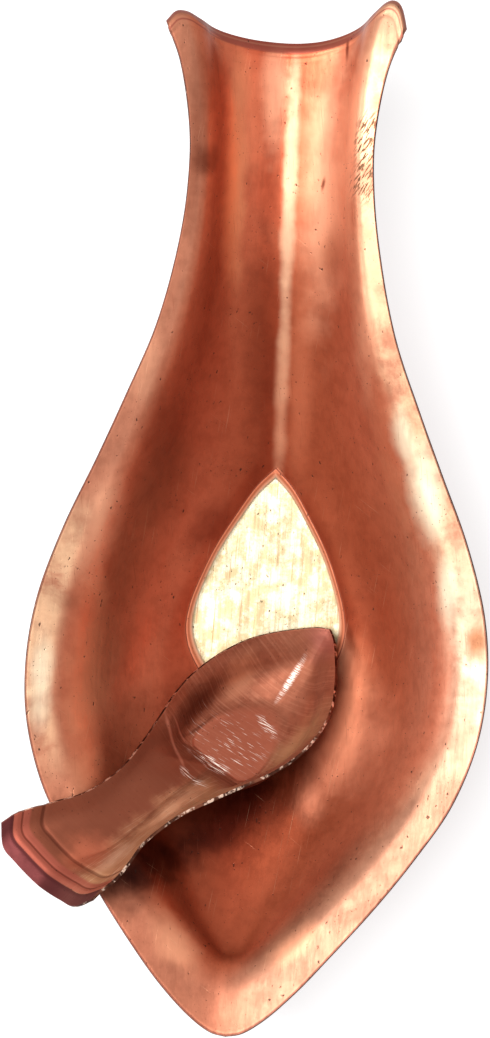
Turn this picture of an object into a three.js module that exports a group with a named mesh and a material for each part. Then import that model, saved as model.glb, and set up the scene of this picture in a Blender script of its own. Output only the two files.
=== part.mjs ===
// A kosha patra: a leaf-shaped copper vessel on a flat drop-shaped foot, with its small spoon,
// the kushi, lying in it. Millimetres, +Z up, +Y towards the vessel's open tail.
// The origin is in the middle of the foot's underside.
import * as THREE from 'three';
import { mergeVertices } from 'three/addons/utils/BufferGeometryUtils.js';

// The vessel
const vesselLength = 292; // tip to the middle of the tail's end
const vesselHalfWidth = 68;
const vesselBowlHeight = 43; // rim above the foot's inside, where the bowl is widest
const vesselTailHeight = 62; // rim above the foot's inside, at the tail
const vesselKeelHeight = 45; // floor of the trough above the foot's inside, at the tail
const vesselSheet = 1.2;
const footHalfWidth = 24.6;
const footLength = 75;
const footFromTip = 93.5;
const footStepHeight = 1;
const footBorder = 2.4; // width of the step round the foot's flat
const vesselBandSlope = 16; // degrees, of the flared band under the rim
const vesselBow = 2.6; // sideways bend of the hand-beaten middle line
const leftHornReach = 8.1; // horns of the tail, past the middle of its end
const rightHornReach = 13.6;
const vesselLipWidth = 3;
const vesselLipDrop = 1.8;

// The spoon
const spoonLength = 117;
const spoonHalfWidth = 21;
const spoonBowlHeight = 13.5;
const spoonTailHeight = 18;
const spoonKeelHeight = 9.5;
const spoonSheet = 0.9;
const panelHalfWidth = 12.4;
const panelLength = 31;
const panelFromTip = 22;
const panelStepHeight = 0.5;
const panelBorder = 1.2;
const spoonBandSlope = 52;
const spoonBow = 5.7;
const spoonEndReach = 3.6;
const spoonLipWidth = 4;
const spoonLipDrop = 2;

// How the spoon lies in the vessel
const spoonTurn = 135.3; // degrees, its tail from the vessel's tail, towards the left
const spoonPitch = 28.1; // its tail up
const spoonRoll = 22; // towards its right side
const spoonAside = 3.8; // its panel from the middle of the foot, to the left
const spoonAhead = 45; // and towards the vessel's tip
const seatGap = 0.3;

// Mesh steps
const vesselSteps = { perStation: 2, floor: 3, foot: 4, roll: 4, band: 2 };
const spoonSteps = { perStation: 2, floor: 2, foot: 4, roll: 3, band: 2 };

// Each station is one cross-section of the right half: where it meets the rim, the inner edge of the
// flared band, and the foot's outline or the keel behind it. Rim and band points are shares
// [half width, length] of the piece, foot points are such shares of the foot, and a keel point is a
// share of the way from the foot's end to the tail.
const vesselStationShares = [
  { rim: [0, 0], band: [0, 0.071], foot: [0, 0] },
  { rim: [0.062, 0.003], band: [0.052, 0.0745], foot: [0.19, 0.008] },
  { rim: [0.155, 0.017], band: [0.125, 0.086], foot: [0.38, 0.03] },
  { rim: [0.293, 0.048], band: [0.228, 0.109], foot: [0.56, 0.069] },
  { rim: [0.441, 0.089], band: [0.335, 0.138], foot: [0.72, 0.124] },
  { rim: [0.6, 0.137], band: [0.45, 0.17], foot: [0.857, 0.186] },
  { rim: [0.757, 0.19], band: [0.574, 0.209], foot: [0.958, 0.256] },
  { rim: [0.89, 0.243], band: [0.684, 0.255], foot: [1, 0.332] },
  { rim: [0.979, 0.308], band: [0.771, 0.311], foot: [0.97, 0.421] },
  { rim: [1, 0.37], band: [0.785, 0.373], foot: [0.865, 0.532] },
  { rim: [0.97, 0.431], band: [0.753, 0.434], foot: [0.7, 0.663] },
  { rim: [0.875, 0.503], band: [0.695, 0.492], foot: [0.464, 0.801] },
  { rim: [0.743, 0.575], band: [0.581, 0.56], foot: [0.22, 0.925] },
  { rim: [0.632, 0.637], band: [0.487, 0.622], foot: [0, 1] },
  { rim: [0.518, 0.705], band: [0.391, 0.692], keel: 0.18 },
  { rim: [0.443, 0.774], band: [0.329, 0.764], keel: 0.37 },
  { rim: [0.399, 0.842], band: [0.3, 0.837], keel: 0.57 },
  { rim: [0.394, 0.904], band: [0.296, 0.902], keel: 0.76 },
  { rim: [0.441, 0.962], band: [0.318, 0.959], keel: 0.905 },
  { rim: [0.53, 1], band: [0.37, 1], keel: 1 },
];
const spoonStationShares = [
  { rim: [0, 0], band: [0, 0.037], foot: [0, 0] },
  { rim: [0.14, 0.014], band: [0.1, 0.05], foot: [0.22, 0.02] },
  { rim: [0.345, 0.049], band: [0.26, 0.078], foot: [0.43, 0.07] },
  { rim: [0.62, 0.107], band: [0.49, 0.128], foot: [0.63, 0.16] },
  { rim: [0.83, 0.168], band: [0.675, 0.182], foot: [0.8, 0.28] },
  { rim: [0.965, 0.246], band: [0.8, 0.254], foot: [0.93, 0.43] },
  { rim: [1, 0.336], band: [0.83, 0.336], foot: [1, 0.62] },
  { rim: [0.94, 0.41], band: [0.775, 0.406], foot: [0.98, 0.84] },
  { rim: [0.82, 0.484], band: [0.665, 0.475], foot: [0.76, 0.975] },
  { rim: [0.675, 0.574], band: [0.53, 0.566], foot: [0, 1] },
  { rim: [0.555, 0.664], band: [0.42, 0.66], keel: 0.2 },
  { rim: [0.54, 0.746], band: [0.405, 0.746], keel: 0.43 },
  { rim: [0.585, 0.807], band: [0.45, 0.816], keel: 0.62 },
  { rim: [0.69, 0.861], band: [0.54, 0.873], keel: 0.77 },
  { rim: [0.8, 0.926], band: [0.63, 0.934], keel: 0.9 },
  { rim: [0.845, 1], band: [0.67, 1], keel: 1 },
];

// Rows of [share of the way along, share of the value]
const vesselSheerShares = [
  [0, 0.17], [0.12, 0.09], [0.25, 0], [0.4, 0], [0.52, 0.1], [0.65, 0.36], [0.8, 0.74], [0.9, 0.93],
  [1, 1],
];
const vesselKeelShares = [
  [0, 0], [0.1, 0.12], [0.25, 0.36], [0.42, 0.61], [0.58, 0.77], [0.75, 0.87], [1, 1],
];
const vesselWallShares = [
  [0, 0.04], [0.1, 0.1], [0.2, 0.2], [0.45, 0.42], [0.7, 0.3], [0.85, 0.17], [1, 0.15],
];
const vesselBowShares = [
  [0, -0.46], [0.07, -0.42], [0.15, 0], [0.35, 0.65], [0.53, 1], [0.65, 0.99], [0.8, 0.95], [0.94, 0.6],
  [1, 0.5],
];
const vesselEndShares = [[0, 0], [0.5, 0.31], [0.62, 0.46], [0.73, 0.74], [0.86, 1], [1, 0.55]];
const spoonSheerShares = [[0, 0.5], [0.1, 0.25], [0.3, 0], [0.5, 0.1], [0.7, 0.4], [0.85, 0.8], [1, 1]];
const spoonKeelShares = [[0, 0], [0.05, 0.17], [0.11, 0.36], [0.2, 0.47], [0.5, 0.66], [0.8, 0.86], [1, 1]];
const spoonWallShares = [[0, 0.3], [0.4, 0.36], [0.7, 0.42], [1, 0.4]];
const spoonBowShares = [
  [0, 0.03], [0.07, -0.01], [0.2, -0.14], [0.4, -0.09], [0.6, 0.05], [0.8, 0.32], [0.9, 0.58], [1, 0.96],
];
const spoonEndShares = [[0, 1], [0.5, 0.95], [0.8, 0.7], [1, 0]];

// Rows of [share of the way along, degrees by which the floor rises from the foot or keel to the wall]
const vesselFloorSlopes = [[0, 22], [0.45, 20], [0.6, 22], [0.69, 27], [0.8, 17], [1, 11]];
const spoonFloorSlopes = [[0, 20], [0.45, 22], [0.6, 30], [0.75, 22], [1, 18]];

// Corner roundings of every cross-section, as shares of the straight runs that meet there
const floorCornerShare = 0.7;
const wallCornerShare = 0.5;
const bandCornerShare = 0.45;
const hornStartShare = 0.86; // of the length, where the ends begin to stretch into horns
const lipReachShare = 0.5; // of the last step before the end, which the lip's bend can use at most

// Points closer than this share of the sheet become one, and triangles smaller than the next are left out
const joinShare = 1e-3;
const emptyShare = joinShare ** 2;

function follow(rows) {
  const interpolant = new THREE.CubicInterpolant(
    rows.map(([place]) => place), rows.map(([, value]) => value), 1, new Float64Array(1));
  return (place) => interpolant.evaluate(THREE.MathUtils.clamp(place, 0, 1))[0];
}

function railThrough(points) {
  return new THREE.CatmullRomCurve3(points, false, 'centripetal');
}

function along(from, to, count) {
  return Array.from({ length: count }, (_, step) => from.clone().lerp(to, (step + 1) / count));
}

function roundedCorner(from, corner, to, count) {
  const bend = new THREE.QuadraticBezierCurve3(from, corner, to);
  return bend.getPoints(count).slice(1);
}

// The line of one cross-section, from the foot or keel out to the rim.
function crossSection(foot, wallFoot, roll, rim, steps) {
  const floorEnd = wallFoot.clone().lerp(foot, floorCornerShare);
  const wallMiddle = wallFoot.clone().lerp(roll, wallCornerShare);
  const bandStart = roll.clone().lerp(rim, bandCornerShare);
  return [
    foot.clone(),
    ...along(foot, floorEnd, steps.floor),
    ...roundedCorner(floorEnd, wallFoot, wallMiddle, steps.foot),
    ...roundedCorner(wallMiddle, roll, bandStart, steps.roll),
    ...along(bandStart, rim, steps.band),
  ];
}

// The rows of points of one half's upper skin: one row for each station step, front to tail.
function halfSkin(form, steps, hornReach) {
  const { length, halfWidth, shares } = form;
  const sheer = follow(form.sheer);
  const keelRise = follow(form.keelRise);
  const wallShare = follow(form.wall);
  const floorSlope = follow(form.floorSlopes);
  const endShape = follow(form.endShares);
  const place = ([width, reach]) => new THREE.Vector3(width * halfWidth, reach * length, 0);
  const footEnd = form.footFromTip + form.footLength;
  const onFoot = shares.filter((station) => station.foot);
  const onKeel = shares.filter((station) => station.keel !== undefined);
  const outline = railThrough(onFoot.map(({ foot }) => new THREE.Vector3(
    foot[0] * form.footHalfWidth, form.footFromTip + foot[1] * form.footLength, form.stepHeight)));
  const keelPlaces = [0, ...onKeel.map((station) => station.keel)];
  const keel = railThrough(keelPlaces.map((share) => new THREE.Vector3(
    0, THREE.MathUtils.lerp(footEnd, length, share),
    form.stepHeight + keelRise(share) * (form.keelHeight - form.stepHeight))));
  const rimRail = railThrough(shares.map(({ rim }) => place(rim)));
  const bandRail = railThrough(shares.map(({ band }) => place(band)));
  const intervals = shares.length - 1;
  const footIntervals = onFoot.length - 1;
  const rows = [];
  for (let index = 0; index <= intervals * steps.perStation; index += 1) {
    const station = index / steps.perStation;
    const share = station / intervals;
    const foot = station <= footIntervals
      ? outline.getPoint(station / footIntervals)
      : keel.getPoint((station - footIntervals) / (intervals - footIntervals));
    const rim = rimRail.getPoint(share);
    rim.z = THREE.MathUtils.lerp(form.bowlHeight, form.tailHeight, sheer(rim.y / length));
    const roll = bandRail.getPoint(share);
    const bandWidth = Math.hypot(rim.x - roll.x, rim.y - roll.y);
    roll.z = rim.z - bandWidth * Math.tan(THREE.MathUtils.degToRad(form.bandSlope));
    const wallFoot = roll.clone().lerp(foot, wallShare(share));
    const floorRun = Math.hypot(wallFoot.x - foot.x, wallFoot.y - foot.y);
    wallFoot.z = foot.z + floorRun * Math.tan(THREE.MathUtils.degToRad(floorSlope(share)));
    const row = crossSection(foot, wallFoot, roll, rim, steps);
    for (const point of row) {
      const stretch = THREE.MathUtils.smoothstep(point.y / length, hornStartShare, 1) ** 2;
      point.y += hornReach * stretch * endShape(Math.min(point.x / rim.x || 0, 1));
    }
    rows.push(row);
  }
  addLip(rows, form);
  return rows;
}

// The tail's end edge is turned down as a narrow lip.
function addLip(rows, form) {
  const last = rows.at(-1);
  const before = rows.at(-2);
  const bentLine = last.map((point, column) => {
    const reach = point.distanceTo(before[column]);
    return point.clone().lerp(before[column], Math.min(form.lipWidth / reach, lipReachShare));
  });
  last.forEach((point) => {
    point.z -= form.lipDrop;
  });
  rows.splice(-1, 0, bentLine);
}

// Triangles between two rows of points, wound anticlockwise seen from above.
function strip(corners, inner, outer) {
  for (let step = 0; step + 1 < inner.length; step += 1) {
    corners.push([inner[step], inner[step + 1], outer[step + 1]]);
    corners.push([inner[step], outer[step + 1], outer[step]]);
  }
}

// The whole upper skin as loose triangles: both halves, the step round the foot, and its flat.
function upperSkin(form, steps) {
  const triangles = [];
  const footMiddle = new THREE.Vector3(0, form.footFromTip + form.footLength / 2, 0);
  const flatShare = 1 - form.border / form.footHalfWidth;
  const footRows = (form.shares.filter((station) => station.foot).length - 1) * steps.perStation;
  const halves = [form.rightReach, form.leftReach].map((reach) => halfSkin(form, steps, reach));
  const flats = halves.map((rows) => rows.slice(0, footRows + 1).map(([edge]) => {
    const flat = footMiddle.clone().lerp(edge, flatShare);
    flat.z = 0;
    return flat;
  }));
  halves[1].flat().concat(flats[1]).forEach((point) => {
    point.x *= -1;
  });
  halves.forEach((rows, side) => {
    const corners = [];
    for (let row = 0; row + 1 < rows.length; row += 1) {
      strip(corners, rows[row], rows[row + 1]);
    }
    strip(corners, rows.slice(0, footRows + 1).map(([edge]) => edge), flats[side]);
    triangles.push(...corners.map((triangle) => (side === 0 ? triangle : triangle.toReversed())));
  });
  strip(triangles, flats[0], flats[1]);
  return triangles;
}

// The skin's triangles as one geometry with shared vertices and without empty triangles.
function joinedSkin(triangles, form) {
  const bow = follow(form.bowShares);
  const face = new THREE.Triangle();
  const points = triangles
    .filter(([a, b, c]) => face.set(a, b, c).getArea() > form.sheet ** 2 * emptyShare)
    .flat()
    .map((point) => new THREE.Vector3(
      point.x + form.bow * bow(point.y / form.length), point.y, point.z));
  return mergeVertices(new THREE.BufferGeometry().setFromPoints(points), form.sheet * joinShare);
}

// A sheet of even thickness under the skin, closed along its edges.
function sheetSolid(skin, thickness) {
  skin.computeVertexNormals();
  const place = skin.getAttribute('position');
  const normal = skin.getAttribute('normal');
  const corners = Array.from(skin.getIndex().array);
  const count = place.count;
  const points = [];
  for (let index = 0; index < count; index += 1) {
    points.push(new THREE.Vector3().fromBufferAttribute(place, index));
  }
  for (let index = 0; index < count; index += 1) {
    const down = new THREE.Vector3().fromBufferAttribute(normal, index);
    if (points[index].z === 0) {
      down.set(0, 0, 1);
    }
    points.push(points[index].clone().addScaledVector(down, -thickness));
  }
  const faces = [...corners];
  const openEdges = new Map();
  for (let start = 0; start < corners.length; start += 3) {
    const [a, b, c] = corners.slice(start, start + 3);
    faces.push(a + count, c + count, b + count);
    for (const [from, to] of [[a, b], [b, c], [c, a]]) {
      if (!openEdges.delete(`${to} ${from}`)) {
        openEdges.set(`${from} ${to}`, [from, to]);
      }
    }
  }
  for (const [from, to] of openEdges.values()) {
    faces.push(to, from, from + count, to, from + count, to + count);
  }
  const solid = new THREE.BufferGeometry().setFromPoints(points);
  solid.setIndex(faces);
  return solid;
}

function sheetPiece(name, form, steps, material) {
  const skin = joinedSkin(upperSkin(form, steps), form);
  const solid = sheetSolid(skin, form.sheet);
  const footMiddle = form.footFromTip + form.footLength / 2;
  const bowAtFoot = form.bow * follow(form.bowShares)(footMiddle / form.length);
  solid.translate(-bowAtFoot, -footMiddle, form.sheet);
  solid.computeVertexNormals();
  const mesh = new THREE.Mesh(solid, material);
  mesh.name = name;
  return mesh;
}

const vesselForm = {
  length: vesselLength,
  halfWidth: vesselHalfWidth,
  bowlHeight: vesselBowlHeight,
  tailHeight: vesselTailHeight,
  keelHeight: vesselKeelHeight,
  sheet: vesselSheet,
  footHalfWidth,
  footLength,
  footFromTip,
  stepHeight: footStepHeight,
  border: footBorder,
  bandSlope: vesselBandSlope,
  bow: vesselBow,
  rightReach: rightHornReach,
  leftReach: leftHornReach,
  lipWidth: vesselLipWidth,
  lipDrop: vesselLipDrop,
  shares: vesselStationShares,
  sheer: vesselSheerShares,
  keelRise: vesselKeelShares,
  wall: vesselWallShares,
  bowShares: vesselBowShares,
  endShares: vesselEndShares,
  floorSlopes: vesselFloorSlopes,
};

const spoonForm = {
  length: spoonLength,
  halfWidth: spoonHalfWidth,
  bowlHeight: spoonBowlHeight,
  tailHeight: spoonTailHeight,
  keelHeight: spoonKeelHeight,
  sheet: spoonSheet,
  footHalfWidth: panelHalfWidth,
  footLength: panelLength,
  footFromTip: panelFromTip,
  stepHeight: panelStepHeight,
  border: panelBorder,
  bandSlope: spoonBandSlope,
  bow: spoonBow,
  rightReach: spoonEndReach,
  leftReach: spoonEndReach,
  lipWidth: spoonLipWidth,
  lipDrop: spoonLipDrop,
  shares: spoonStationShares,
  sheer: spoonSheerShares,
  keelRise: spoonKeelShares,
  wall: spoonWallShares,
  bowShares: spoonBowShares,
  endShares: spoonEndShares,
  floorSlopes: spoonFloorSlopes,
};

// How far the upper piece can come straight down before it meets the lower one.
function dropBetween(upper, lower) {
  const caster = new THREE.Raycaster();
  const reach = new THREE.Box3().setFromObject(upper).union(new THREE.Box3().setFromObject(lower));
  const tall = reach.max.z - reach.min.z;
  let least = tall;
  const search = (piece, target, direction) => {
    const place = piece.geometry.getAttribute('position');
    for (let index = 0; index < place.count; index += 1) {
      const point = new THREE.Vector3().fromBufferAttribute(place, index).applyMatrix4(piece.matrixWorld);
      caster.set(point, direction);
      for (const hit of caster.intersectObject(target)) {
        least = Math.min(least, hit.distance);
      }
    }
  };
  search(upper, lower, new THREE.Vector3(0, 0, -1));
  search(lower, upper, new THREE.Vector3(0, 0, 1));
  return least;
}

const copper = new THREE.MeshStandardMaterial({ color: 0xc8764f, roughness: 0.35, metalness: 1 });
const darkCopper = new THREE.MeshStandardMaterial({ color: 0xa9654a, roughness: 0.4, metalness: 1 });
const vessel = sheetPiece('kosha_vessel', vesselForm, vesselSteps, copper);
const spoon = sheetPiece('kushi_spoon', spoonForm, spoonSteps, darkCopper);

const spoonTurned = new THREE.Group();
spoonTurned.rotation.set(
  THREE.MathUtils.degToRad(spoonPitch), THREE.MathUtils.degToRad(spoonRoll),
  THREE.MathUtils.degToRad(spoonTurn), 'ZXY');
spoonTurned.position.set(-spoonAside, -spoonAhead, vesselTailHeight + spoonLength);
spoonTurned.add(spoon);

const group = new THREE.Group();
group.add(vessel, spoonTurned);
group.updateMatrixWorld(true);
spoonTurned.position.z -= dropBetween(spoon, vessel) - seatGap;

export default group;
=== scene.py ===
from bisect import bisect_right
from math import cos, hypot, radians, sin, sqrt, tan

import bmesh
import bpy
from mathutils import Matrix, Vector, noise


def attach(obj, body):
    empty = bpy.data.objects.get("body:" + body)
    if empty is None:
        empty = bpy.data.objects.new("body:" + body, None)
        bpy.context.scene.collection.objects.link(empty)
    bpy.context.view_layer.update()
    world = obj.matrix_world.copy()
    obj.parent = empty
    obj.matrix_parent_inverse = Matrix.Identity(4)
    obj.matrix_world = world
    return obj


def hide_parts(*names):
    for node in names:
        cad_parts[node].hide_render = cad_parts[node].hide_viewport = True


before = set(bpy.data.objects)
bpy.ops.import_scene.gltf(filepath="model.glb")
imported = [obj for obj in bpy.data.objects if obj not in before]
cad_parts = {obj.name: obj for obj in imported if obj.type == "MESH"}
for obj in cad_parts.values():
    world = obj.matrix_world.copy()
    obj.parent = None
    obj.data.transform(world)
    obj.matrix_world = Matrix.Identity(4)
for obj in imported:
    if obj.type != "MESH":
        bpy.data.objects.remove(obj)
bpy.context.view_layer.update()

mm = 0.001
scene = bpy.context.scene
scene.view_settings.view_transform = "Standard"


# the camera, as the photograph was taken: nearly straight down
view = {
    "aim": Vector((0, 20, 44)) * mm,
    "tilt": radians(3),
    "roll": radians(3.12),
    "distance": 1.1,
    "across": -6.0 * mm,  # from the aim to the middle of the picture
    "up": 1.4 * mm,
    "tall": 305.9 * mm,  # what the picture's height takes in at the aim
    "sensor": 36,
}


def addCamera():
    back = Vector((sin(view["tilt"]), 0, cos(view["tilt"])))
    level = Vector((cos(view["tilt"]), 0, -sin(view["tilt"])))
    ahead = Vector((0, 1, 0))
    right = level * cos(view["roll"]) + ahead * sin(view["roll"])
    up = ahead * cos(view["roll"]) - level * sin(view["roll"])
    middle = view["aim"] + right * view["across"] + up * view["up"]
    place = Matrix((right, up, back)).transposed().to_4x4()
    place.translation = middle + back * view["distance"]
    data = bpy.data.cameras.new("photoCamera")
    data.sensor_width = view["sensor"]
    data.lens = view["sensor"] * view["distance"] / view["tall"]
    data.clip_start = 0.01
    camera = bpy.data.objects.new("photoCamera", data)
    scene.collection.objects.link(camera)
    camera.matrix_world = place
    scene.camera = camera


addCamera()
print("camera set")


# a smooth line through rows of (place, value)
def follow(rows):
    places = [row[0] for row in rows]
    values = [row[1] for row in rows]
    last = len(rows) - 1

    def valueAt(place):
        place = min(max(place, 0), 1)
        end = min(max(bisect_right(places, place), 1), last)
        start = end - 1
        before = start - 1 if start > 0 else end
        beyond = end + 1 if end < last else start
        half = (places[end] - places[start]) / 2
        pull = half / (places[start] - places[before])
        push = half / (places[beyond] - places[end])
        p = (place - places[start]) / (places[end] - places[start])
        return (
            values[before] * (-pull * p ** 3 + 2 * pull * p ** 2 - pull * p)
            + values[start] * ((1 + pull) * p ** 3 - (1.5 + 2 * pull) * p ** 2 + (pull - 0.5) * p + 1)
            + values[end] * (-(1 + push) * p ** 3 + (1.5 + push) * p ** 2 + 0.5 * p)
            + values[beyond] * (push * p ** 3 - push * p ** 2))

    return valueAt


# a smooth curve through points in space, for shares from 0 to 1
def rail(points):
    last = len(points) - 1
    ends = [2 * points[0] - points[1], 2 * points[last] - points[last - 1]]

    def pointAt(share):
        spot = share * last
        index = min(int(spot), last - 1)
        p = spot - index
        b, c = points[index], points[index + 1]
        a = points[index - 1] if index > 0 else ends[0]
        d = points[index + 2] if index + 2 <= last else ends[1]
        first, middle, third = (sqrt((v - u).length) for u, v in ((a, b), (b, c), (c, d)))
        leave = ((b - a) / first - (c - a) / (first + middle) + (c - b) / middle) * middle
        reach = ((c - b) / middle - (d - b) / (middle + third) + (d - c) / third) * middle
        return (b + leave * p + (-3 * b + 3 * c - 2 * leave - reach) * p ** 2
                + (2 * b - 2 * c + leave + reach) * p ** 3)

    return pointAt


# from 0 below the low value to 1 above the high one
def smooth(value, low, high):
    share = min(max((value - low) / (high - low), 0), 1)
    return share * share * (3 - 2 * share)


# a curve that leaves towards a corner and arrives from it
def bend(start, corner, end, share):
    return start.lerp(corner, share).lerp(corner.lerp(end, share), share)


# the two beaten sheets: sizes in millimetres, outlines as shares of them
vessel = {
    "length": 292.6,
    "halfWidth": 68,
    "bowlHeight": 43,
    "tailHeight": 62,
    "keelHeight": 45,
    "sheet": 1.2,
    "footHalfWidth": 24.6,
    "footLength": 75,
    "footFromTip": 93.5,
    "step": 1,
    "border": [(0, 2.4), (1, 2.4)],  # width of the step, from the foot's front to its point
    "groove": 0.12,  # its depth round the step
    "bandSlope": 16,
    "bow": 2.6,
    "keelBow": 1,  # how much of the bow the keel takes part in
    "reach": (6.2, 12),  # left and right horn
    "flare": 0,  # how much wider the right side gets at the tail's end
    "hornStart": 0.86,
    "lipWidth": 3,
    "lipLess": 0.55,  # how much narrower the lip gets on the horns
    "lipDrop": 1.8,
    "grooves": ((4.6, 0.9, 0.12),),  # across the tail: place from its end, width, depth
    "facet": None,
    "frontRound": (5, 0.02, 0.05),  # of the crease before the foot: radius, slopes of floor and wall
    "keelRound": (1, 2.2),  # at the foot and at the tail
    "waves": ((26, 0.22), (9, 0.07)),  # hammer marks: spacing and height
    # from the front to the tail: rim, inner edge of its band, and foot or, behind it, share of the keel
    "stations": [
        ((0, 0), (0, 0.071), (0, 0)),
        ((0.062, 0.003), (0.052, 0.0745), (0.19, 0.008)),
        ((0.155, 0.017), (0.125, 0.086), (0.38, 0.03)),
        ((0.293, 0.048), (0.228, 0.109), (0.56, 0.069)),
        ((0.441, 0.089), (0.335, 0.138), (0.72, 0.124)),
        ((0.6, 0.137), (0.45, 0.17), (0.857, 0.186)),
        ((0.757, 0.19), (0.574, 0.209), (0.958, 0.256)),
        ((0.89, 0.243), (0.684, 0.255), (1, 0.332)),
        ((0.979, 0.308), (0.771, 0.311), (0.97, 0.421)),
        ((1, 0.37), (0.785, 0.373), (0.865, 0.532)),
        ((0.97, 0.431), (0.753, 0.434), (0.7, 0.663)),
        ((0.875, 0.503), (0.695, 0.492), (0.464, 0.801)),
        ((0.743, 0.575), (0.581, 0.56), (0.22, 0.925)),
        ((0.632, 0.637), (0.487, 0.622), (0, 1)),
        ((0.518, 0.705), (0.391, 0.692), 0.18),
        ((0.443, 0.774), (0.329, 0.764), 0.37),
        ((0.399, 0.842), (0.3, 0.837), 0.57),
        ((0.394, 0.904), (0.296, 0.902), 0.76),
        ((0.441, 0.962), (0.318, 0.959), 0.905),
        ((0.515, 1), (0.37, 1), 1),
    ],
    "sheer": [(0, 0.17), (0.12, 0.09), (0.25, 0), (0.4, 0), (0.52, 0.1), (0.65, 0.36), (0.8, 0.74),
              (0.9, 0.93), (1, 1)],
    "keelRise": [(0, 0), (0.1, 0.12), (0.25, 0.36), (0.42, 0.61), (0.58, 0.77), (0.75, 0.87), (1, 1)],
    "wall": [(0, 0.04), (0.05, 0.035), (0.1, 0.07), (0.2, 0.18), (0.45, 0.42), (0.7, 0.3), (0.85, 0.17),
             (1, 0.15)],
    "bowShape": [(0, -0.46), (0.07, -0.42), (0.15, 0), (0.35, 0.65), (0.53, 1), (0.65, 0.99),
                 (0.8, 0.95), (0.94, 0.6), (1, 0.5)],
    "endShape": ([(0, 0), (0.12, 0.01), (0.3, 0.08), (0.5, 0.27), (0.62, 0.46), (0.73, 0.74), (0.84, 1),
                  (0.93, 0.93), (1, 0.45)],
                 [(0, 0), (0.12, 0.01), (0.3, 0.08), (0.5, 0.27), (0.62, 0.46), (0.73, 0.74), (0.82, 0.96),
                  (0.88, 1), (0.94, 0.88), (0.97, 0.68), (1, 0.3)]),
    "floorSlope": [(0, 22), (0.45, 20), (0.6, 22), (0.69, 27), (0.8, 17), (1, 11)],
    # how soon the floor bends up into the wall
    "corner": [(0, 0.35), (0.25, 0.4), (0.5, 0.7), (0.75, 0.7), (0.88, 0.45), (1, 0.4)],
    "rowsEach": 11,
    "lipRows": 24,
    "columns": {"flat": 12, "step": 7, "floor": 11, "foot": 11, "roll": 12, "band": 8},
}

spoon = {
    "length": 117,
    "halfWidth": 21,
    "bowlHeight": 13.5,
    "tailHeight": 18,
    "keelHeight": 9.5,
    "sheet": 0.9,
    "footHalfWidth": 12.4,
    "footLength": 31,
    "footFromTip": 22,
    "step": 0.5,
    "border": [(0, 5), (0.3, 5), (0.5, 4), (0.75, 1.2), (1, 1.2)],
    "groove": 0.02,
    "bandSlope": 52,
    "bow": 5.7,
    "keelBow": 0,
    "reach": (4.4, 4.4),
    "flare": 0.07,
    "hornStart": 0.86,
    "lipWidth": 4.2,
    "lipLess": 0,
    "lipDrop": 2,
    "grooves": ((6.8, 1.0, 0.1), (12.6, 1.5, 0.25)),
    "facet": (53, 61, 0.4),  # behind the panel: where it starts and ends, and its slope
    "frontRound": (2.4, 0.08, 0.5),
    "keelRound": (0.4, 2.2),
    "waves": ((14, 0.1), (5, 0.035)),
    "stations": [
        ((0, 0), (0, 0.037), (0, 0)),
        ((0.14, 0.014), (0.1, 0.05), (0.22, 0.02)),
        ((0.345, 0.049), (0.26, 0.078), (0.43, 0.07)),
        ((0.62, 0.107), (0.49, 0.128), (0.63, 0.16)),
        ((0.83, 0.168), (0.675, 0.182), (0.8, 0.28)),
        ((0.965, 0.246), (0.8, 0.254), (0.93, 0.43)),
        ((1, 0.336), (0.83, 0.336), (1, 0.62)),
        ((0.94, 0.41), (0.775, 0.406), (0.98, 0.84)),
        ((0.82, 0.484), (0.665, 0.475), (0.76, 0.975)),
        ((0.675, 0.574), (0.53, 0.566), (0, 1)),
        ((0.555, 0.664), (0.42, 0.66), 0.2),
        ((0.54, 0.746), (0.405, 0.746), 0.43),
        ((0.585, 0.807), (0.45, 0.816), 0.62),
        ((0.69, 0.861), (0.54, 0.873), 0.77),
        ((0.8, 0.926), (0.63, 0.934), 0.9),
        ((0.845, 1), (0.67, 1), 1),
    ],
    "sheer": [(0, 0.5), (0.1, 0.25), (0.3, 0), (0.5, 0.1), (0.7, 0.4), (0.85, 0.8), (1, 1)],
    "keelRise": [(0, 0), (0.05, 0.17), (0.11, 0.36), (0.2, 0.47), (0.5, 0.66), (0.8, 0.86), (1, 1)],
    "wall": [(0, 0.3), (0.4, 0.36), (0.7, 0.42), (1, 0.4)],
    "bowShape": [(0, 0.03), (0.07, -0.01), (0.2, -0.14), (0.4, -0.09), (0.6, 0.05), (0.8, 0.32),
                 (0.9, 0.58), (1, 0.96)],
    "endShape": ([(0, 1), (0.5, 0.97), (0.8, 0.78), (1, 0)],) * 2,
    "floorSlope": [(0, 20), (0.45, 22), (0.6, 30), (0.75, 22), (1, 18)],
    "corner": [(0, 0.7), (1, 0.7)],
    "rowsEach": 15,
    "lipRows": 26,
    "columns": {"flat": 6, "step": 5, "floor": 8, "foot": 9, "roll": 9, "band": 6},
}

# how the spoon lies in the vessel, in degrees and millimetres
spoonPose = {"turn": 135.3, "pitch": 28.1, "roll": 22, "aside": -3.8, "ahead": -45, "lift": 10.63}

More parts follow.
